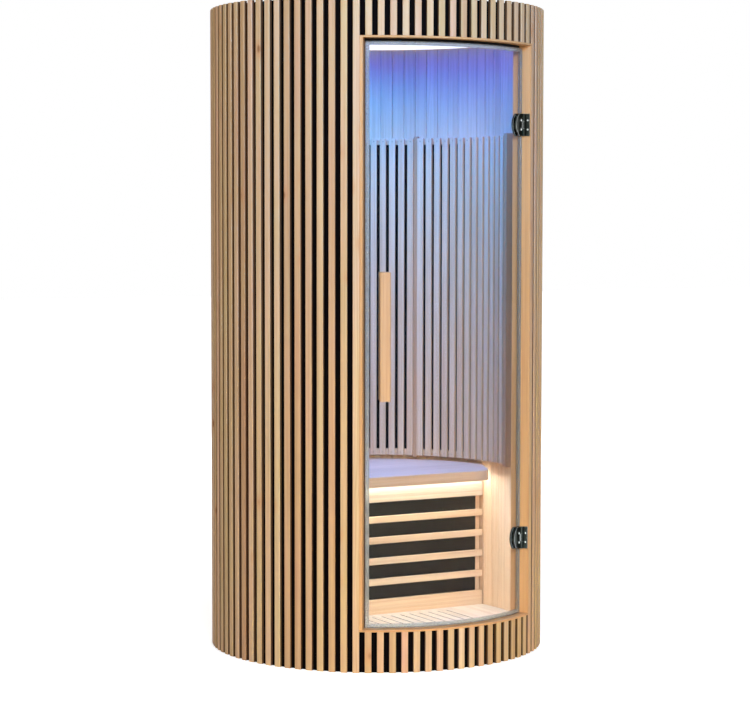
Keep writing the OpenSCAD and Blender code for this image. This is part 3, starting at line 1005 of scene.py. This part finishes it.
# %% [markdown]
# ## Light strips
#
# A milky cover hides a row of small lamps in the corner under the ceiling, and a strip
# is tucked under the seat, just in front of the heater. A glowing surface lights what is
# near it by itself. The lower strip looks warm although its own tint is slightly cool,
# because the pale wood round it adds the warmth. Strips like the upper one can change
# colour, and lamps just below the ceiling add the violet and blue that it throws into
# the room.

# %% Light strips
def glow(name, tint, strength):
    cover = Finish(name)
    cover.set(base_color=(0.8, 0.8, 0.8, 1), roughness=0.4)
    cover.set(emission_color=tint, emission_strength=strength)
    return cover


COVE_GLOW = 1.15
SEAT_GLOW = 108.0
coat(glow("cove_light", (0.92, 0.90, 1.0, 1), COVE_GLOW), "ceiling_light")
coat(glow("warm_light", (0.80, 0.93, 1.0, 1), SEAT_GLOW), "bench_light")
print("glow strengths:", COVE_GLOW, SEAT_GLOW)

# %% [markdown]
# ## Glass
#
# Blender's glass bends light properly, but it also stops the lamps outside from
# shining straight through, which would leave the cabin in the dark. A Light Path node
# lets shadow rays and soft bounces pass as if the pane weren't there, while the eye
# still sees real glass. Lamps come through almost whole. The soft light of the studio
# is dimmed on its way in, like a room with its blinds half drawn, so that the cabin's
# own coloured light can be seen.
#
# The index sets how much the pane mirrors. Real glass has about 1.5. In an all-white
# studio that lays a grey haze over the dark gaps behind the pane, so it is set lower.

# %% The glass
GLASS_INDEX = 1.13
LAMPS_THROUGH = 0.94
STUDIO_THROUGH = 0.42


def clear_glass():
    glass = Finish("door_glass")
    glass.set(base_color=colour(248, 253, 251), roughness=0.0)
    glass.set(ior=GLASS_INDEX, transmission_weight=1.0)
    path = glass.node("LightPath")
    lamps = path.outputs["Is Shadow Ray"]
    soft = glass.math("MAXIMUM", lamps, path.outputs["Is Diffuse Ray"])
    share = glass.between(lamps, 0.0, 1.0, STUDIO_THROUGH, LAMPS_THROUGH)
    gone = glass.node("BsdfTransparent", glass.node("CombineColor", share, share, share).outputs[0])
    both = glass.node("MixShader", soft, glass.shader.outputs[0], gone.outputs[0])
    glass.tree.links.new(both.outputs[0], glass.output.inputs["Surface"])
    return glass


coat(clear_glass(), "door_glass")
print("glass index:", GLASS_INDEX)

# %% [markdown]
# ## Beside a jamb
#
# Every part of a doorway is square to its jamb: the stops, the hinges and their screws.
# So their places are given in the jamb's own directions, one across the doorway and one
# along the radius, and turned into the cabin's directions by one small function.

# %% Places beside a jamb
SLAT_PLACES = 90
JAMB_PLACE = 9  # the slat place beside the door
JAMB_BEARING = math.tau * JAMB_PLACE / SLAT_PLACES


def by_jamb(side, across, radial, z):
    """A place beside a jamb, side 1 or -1: how far into the doorway, and how far out."""
    x = radial * math.sin(JAMB_BEARING) - across * math.cos(JAMB_BEARING)
    y = -radial * math.cos(JAMB_BEARING) - across * math.sin(JAMB_BEARING)
    return Vector((side * x, y, z))


def across_of(co):
    """How far into the doorway a point beside the right jamb lies."""
    return -co.x * math.cos(JAMB_BEARING) - co.y * math.sin(JAMB_BEARING)


REVEAL = max(across_of(v.co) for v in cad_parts["jamb_right"].data.vertices)
print(f"the reveal stands {REVEAL / MM:.1f} mm inside the slats' middle")

# %% [markdown]
# ## The seal
#
# A soft clear-grey profile is pushed on to the edge of the glass all round. It is
# cloudy rather than clear: most light goes through and some stays on its surface, so
# it gets both a colour and part transmission.

# %% The seal
def seal_rubber():
    rubber = Finish("seal_rubber")
    cloud = rubber.noise(rubber.place(), 30.0)
    rubber.set(base_color=rubber.mix(cloud, colour(226, 230, 229), colour(238, 240, 239)))
    rubber.set(roughness=0.25, ior=1.18, transmission_weight=0.85)
    rubber.bump(rubber.noise(rubber.place(), 220.0), 0.05 * MM)
    return rubber


coat(seal_rubber(), "door_seal")
print("the seal is cloudy rubber")

# %% [markdown]
# ## The stops
#
# Behind the seal the door comes to rest against stops, so no light shows through the gap: black
# rubber glued under the lintel, and a bead down the closing side whose dark brown is painted
# shadow. The frame has neither, because they are too slight for the construction. Each is a small
# section carried along a path, so one function joins the rings of corners that mark its way. Both
# are left with square edges.

# %% The stops' sizes
STOP_OUT = glass_in - 3 * MM  # the stops' faces, clear of the seal
STOP_DEEP = 10 * MM
STOP_DROP = 11 * MM  # how far the rubber hangs below the lintel
lintel_z = heights("lintel")[0]
sill_z = heights("sill")[1]


def bridge(shell, rings):
    """Joins rings of corners into one closed form."""
    for one, two in zip(rings, rings[1:]):
        for i in range(len(one)):
            j = (i + 1) % len(one)
            shell.faces.new((one[i], one[j], two[j], two[i]))
    shell.faces.new(list(reversed(rings[0])))
    shell.faces.new(rings[-1])


print(f"the stops' faces lie {STOP_OUT:.4f} m from the middle axis")

# %% [markdown]
# ## The rubber under the lintel
#
# The rubber follows the circle of the glass. A curve object could carry the section
# along, but a ring at each short step gives the same form and leaves nothing to convert.
# Rubber isn't evenly black: a faint bloom covers it.

# %% The rubber under the lintel
STOP_PLAY = 0.3 * MM  # what the rubber's ends leave free at the jambs
STOP_STEPS = 24


def black_rubber():
    rubber = Finish("black_rubber")
    bloom = rubber.noise(rubber.place(), 80.0)
    rubber.set(base_color=rubber.mix(bloom, (0.004, 0.004, 0.004, 1), (0.012, 0.011, 0.010, 1)))
    rubber.set(roughness=rubber.between(bloom, 0.3, 0.7, 0.7, 0.85), specular_ior_level=0.2)
    return rubber


def rubber_under_lintel():
    shell = bmesh.new()
    end = JAMB_BEARING - math.asin((REVEAL + STOP_PLAY) / STOP_OUT)
    z0 = lintel_z - STOP_DROP
    section = [(STOP_OUT - STOP_DEEP, z0), (STOP_OUT, z0), (STOP_OUT, lintel_z),
               (STOP_OUT - STOP_DEEP, lintel_z)]
    rings = []
    for i in range(STOP_STEPS + 1):
        bearing = end * (2 * i / STOP_STEPS - 1)
        aim = Vector((math.sin(bearing), -math.cos(bearing), 0))
        rings.append([shell.verts.new(aim * r + Vector((0, 0, z))) for r, z in section])
    bridge(shell, rings)
    return shell


show("lintel_stop", rubber_under_lintel(), black_rubber(), slot="seal")
print("the rubber bends in", STOP_STEPS, "steps")

# %% [markdown]
# ## The bead down the closing side
#
# The bead is a straight strip of wood against the left jamb, so two rings are enough, one at each
# end. Its colour is painted dark brown, a painted shadow beside the glass.

# %% The bead down the closing side
STOP_WIDE = 5 * MM  # how far the bead stands out from the jamb


def bead_beside_door():
    shell = bmesh.new()
    corners = [(REVEAL, STOP_OUT - STOP_DEEP), (REVEAL + STOP_WIDE, STOP_OUT - STOP_DEEP),
               (REVEAL + STOP_WIDE, STOP_OUT), (REVEAL, STOP_OUT)]
    rings = [
        [shell.verts.new(by_jamb(-1, across, radial, z)) for across, radial in corners]
        for z in (sill_z, lintel_z - STOP_DROP)
    ]
    bridge(shell, rings)
    return shell


# Dark brown painted shadow beside the glass.
bead_shadow_wood = softwood("bead_shadow_wood", [colour(96, 76, 58), colour(104, 82, 62)])
joinery("door_bead", bead_beside_door(), upright_grain, bead_shadow_wood, 101, slot="door_frame")

# %% [markdown]
# ## The handle
#
# Two square bars, one on each face of the glass, are bolted together through it. The
# bar outside is the one piece of wood that every guest touches, so its edges are eased
# and its tone is a little deeper than the wall's. It rides on the door, not the cabin.

# %% The handle
HANDLE_EASE = 1.2 * MM
carve("handle_bars", ["door_handles"], upright_grain, handle_wood, 111, "handle_wood",
      HANDLE_EASE, body="door")

# %% [markdown]
# ## The hinges
#
# A plate on the jamb carries the pin, and two D-shaped plates clamp the glass between them.
# Polished metal has almost no colour of its own: it shows what stands around it, dark where that is
# dark. Here that darkness is painted into the plates' colour, as a painted reflection. What makes
# it read as metal is a bright line along each edge, where the polished bevel catches the light. So
# the bevel's own faces get a second, much paler finish: a painted highlight.

# %% The hinges
def polished(name, tint, low, high):
    metal = Finish(name)
    smear = metal.noise(metal.place(), 60.0)
    scratch = metal.noise(metal.scaled(metal.place(), (900.0, 900.0, 60.0)), 1.0)
    metal.set(base_color=tint, metallic=1.0)
    metal.set(roughness=metal.between(smear, 0.3, 0.7, low, high))
    metal.bump(scratch, 0.01 * MM)
    return metal


# A dark painted reflection for the plates, and a pale painted highlight for their bevels and the
# screws.
plate_reflection_metal = polished("plate_reflection_metal", colour(62, 68, 64), 0.12, 0.22)
highlight_metal = polished("highlight_metal", colour(232, 236, 236), 0.08, 0.16)


def plate(name, node, width, body):
    shell = frame_mesh(node)
    # The bevel's faces get the pale painted highlight.
    for face in ease(shell, width, steps=3):
        face.material_index = 1
    piece = show(name, shell, plate_reflection_metal, "hinge_metal", body, [node])
    piece.data.materials.append(highlight_metal.material)
    print(f"{name}: {len(piece.data.polygons)} faces")


plate("hinge_plates", "hinge_leaves", 0.8 * MM, "cabin")
plate("glass_clamps", "hinge_clamps", 1.6 * MM, "door")

# %% [markdown]
# ## The hinge screws
#
# Four screws hold each plate to the jamb, two on either side of the pin, and two cap
# screws draw each pair of clamps together through the glass, close to the pin where the
# pull is greatest. They use the same turned head as the nails, with a socket.

# %% The hinge screws
LEAF_FACE = REVEAL + 3 * MM
SCREW_COLUMNS = (495.5 * MM, 517 * MM)  # along the radius, either side of the pin
SCREW_RISE = 14 * MM  # above and below the middle of a hinge
CLAMP_SCREWS = 37 * MM  # into the doorway
CLAMP_DEEP = 5.3 * MM  # from the glass to a clamp's face
HINGE_HALF = 34 * MM  # half the height of a leaf
SCREW = [(3.2 * MM, -0.4 * MM), (3.2 * MM, 0.5 * MM), (2.6 * MM, 1.1 * MM), (1.7 * MM, 1.2 * MM),
         (1.5 * MM, 0.5 * MM)]
CAP = [(4.4 * MM, -0.4 * MM), (4.4 * MM, 0.8 * MM), (3.7 * MM, 1.5 * MM), (2.0 * MM, 1.5 * MM),
       (1.8 * MM, 0.6 * MM)]
low_z, high_z = heights("hinge_leaves")
HINGE_HEIGHTS = (low_z + HINGE_HALF, high_z - HINGE_HALF)

leaf_screws = bmesh.new()
clamp_screws = bmesh.new()
into_doorway = by_jamb(1, 1, 0, 0)
for z in HINGE_HEIGHTS:
    for radial in SCREW_COLUMNS:
        for rise in (-SCREW_RISE, SCREW_RISE):
            place = by_jamb(1, LEAF_FACE, radial, z + rise)
            turn_head(leaf_screws, place, into_doorway, SCREW, sides=20)
    outward = by_jamb(1, CLAMP_SCREWS, glass_out, 0).normalized()
    for rise in (-SCREW_RISE, SCREW_RISE):
        level = Vector((0, 0, z + rise))
        turn_head(clamp_screws, outward * (glass_out + CLAMP_DEEP) + level, outward, CAP, 28)
        turn_head(clamp_screws, outward * (glass_in - CLAMP_DEEP) + level, -outward, CAP, 28)
print("screws on the jamb:", len(groups(leaf_screws)), "on the glass:", len(groups(clamp_screws)))
# The screw heads take the pale finish: their brightness is a painted highlight.
show("leaf_screws", leaf_screws, highlight_metal, slot="hinge_metal")
show("clamp_screws", clamp_screws, highlight_metal, body="door", slot="hinge_metal")

# %% [markdown]
# ## The floor
#
# A paper floor keeps the cabin's shadow. To the eye it also glows, and the glow grows
# with the distance from the cabin: close by it is weak enough to leave the shadow, and
# further off the floor turns as white as the background, so no horizon shows. The view
# is set to Standard, in which a strength of 1 is plain white.

# %% The floor
bpy.context.scene.view_settings.view_transform = "Standard"

FLOOR_SIZE = 60
NEAR, FAR = 0.9, 4.0  # the glow starts to grow here, and is full there
NEAR_GLOW = 0.62


def studio_floor():
    paper = Finish("studio_floor")
    paper.set(base_color=(0.86, 0.86, 0.86, 1), roughness=0.9)
    shine = paper.between(paper.length(paper.place()), NEAR, FAR, NEAR_GLOW, 1.0)
    paper.set(emission_color=(1, 1, 1, 1))
    paper.set(emission_strength=paper.math("MULTIPLY", paper.seen(), shine))
    data = bpy.data.meshes.new("studio_floor")
    half = FLOOR_SIZE / 2
    corners = [(-half, -half, 0), (half, -half, 0), (half, half, 0), (-half, half, 0)]
    data.from_pydata(corners, [], [(0, 1, 2, 3)])
    data.materials.append(paper.material)
    add("studio_floor", data)


studio_floor()
print("floor:", FLOOR_SIZE, "m across")

# %% [markdown]
# ## The studio around it
#
# The world is plain white to the eye, and to whatever mirrors it or is seen through
# glass. As a light it is softer: brighter in front of the cabin and dim behind it, like
# a studio with white flats on one side only. That lets the round wall fall off into
# shade at both edges, which is what makes a drum look round.

# %% The world
WORLD_FRONT = 0.32
WORLD_BACK = 0.08
FRONT_BEARING = VIEW_BEARING * 0.8  # the bright side, nearer the door than the camera is
FRONT = Vector((math.sin(FRONT_BEARING), -math.cos(FRONT_BEARING), 0.25)).normalized()
FRONT_FROM, FRONT_FULL = 0.1, 0.9  # how squarely a direction has to look at the front


def studio_world():
    world = bpy.data.worlds.new("studio")
    bpy.context.scene.world = world
    sky = Graph(world)
    bearing = sky.node("TexCoord").outputs["Generated"]
    facing = sky.node("VectorMath", bearing, FRONT, operation="DOT_PRODUCT").outputs["Value"]
    light = sky.between(facing, FRONT_FROM, FRONT_FULL, WORLD_BACK, WORLD_FRONT)
    background = sky.tree.nodes["Background"]
    sky.feed(background.inputs["Color"], (1, 1, 1, 1))
    sky.feed(background.inputs["Strength"], sky.between(sky.seen(), 0.0, 1.0, light, 1.0))


studio_world()
print("the studio shines", WORLD_FRONT, "in front and", WORLD_BACK, "behind")

# %% [markdown]
# ## Lamps
#
# One large lamp from the front left gives the boards their form, and its twin on the
# opposite side keeps the back from going dark. A weak lamp stands at the left, a warm
# one shines on the foot of the door, and a blue one through the head of it.
#
# Inside, three discs stand for what the cove throws into the room. A colour strip has
# red, green and blue chips side by side, so its light isn't one colour: violet close to
# the ceiling and a greener blue further down. So one disc is almost pure blue, the next
# adds green lower down, and a narrow one reaches the seat. None is mirrored in the glass.

# %% The lamps
def soft_lamp(name, place, aim, size, watts, tint, spread):
    data = bpy.data.lights.new(name, "AREA")
    data.shape = "DISK"
    data.size = size
    data.energy = watts
    data.color = tint
    data.spread = math.radians(spread)
    lamp = add(name, data)
    lamp.location = place
    lamp.rotation_euler = (Vector(aim) - Vector(place)).to_track_quat("-Z", "Y").to_euler()
    lamp.visible_camera = lamp.visible_glossy = lamp.visible_transmission = False


def out_front(bearing, distance, height):
    """A place in front of the cabin, at a bearing in degrees from the door's middle."""
    turn = math.radians(bearing)
    return distance * math.sin(turn), -distance * math.cos(turn), height


MIDDLE = (0, 0, 1.0)
DOOR_FOOT, DOOR_HEAD = (0, -0.4, 0.1), (0, -0.4, 1.8)
ceiling_z = heights("ceiling_panel")[0]
LAMPS = [  # name, place, aim, metres across, watts, tint, spread in degrees
    ("key_lamp", out_front(-24, 6.0, 3.0), MIDDLE, 2.0, 232, (1.0, 0.97, 0.93), 180),
    ("back_lamp", out_front(151, 6.0, 3.0), MIDDLE, 2.0, 190, (1.0, 0.98, 0.96), 180),
    ("side_lamp", out_front(-82, 5.0, 2.4), MIDDLE, 2.0, 22, (1.0, 0.93, 0.78), 180),
    ("foot_lamp", out_front(-6, 4.5, 0.9), DOOR_FOOT, 0.8, 2.4, (1.0, 0.85, 0.3), 34),
    ("head_lamp", out_front(-18, 2.4, 2.7), DOOR_HEAD, 0.8, 11.5, (0.05, 0.38, 1.0), 90),
    ("cove_on_walls", (0, 0, ceiling_z - 0.01), (0, 0, 0), 0.85, 9.6, (0.02, 0.05, 1.0), 180),
    ("cove_below", (-0.12, 0.10, ceiling_z - 0.07), (-0.12, 0.10, 0), 0.6, 6.0,
     (0.0, 0.50, 1.0), 180),
    ("cove_on_seat", (0, 0.1, ceiling_z - 0.03), (0, 0.15, 0), 0.4, 2.8, (0.27, 0.34, 1.0), 60),
]
for lamp in LAMPS:
    soft_lamp(*lamp)

# %% [markdown]
# ## The object's size
#
# The looks must not change the object's size.
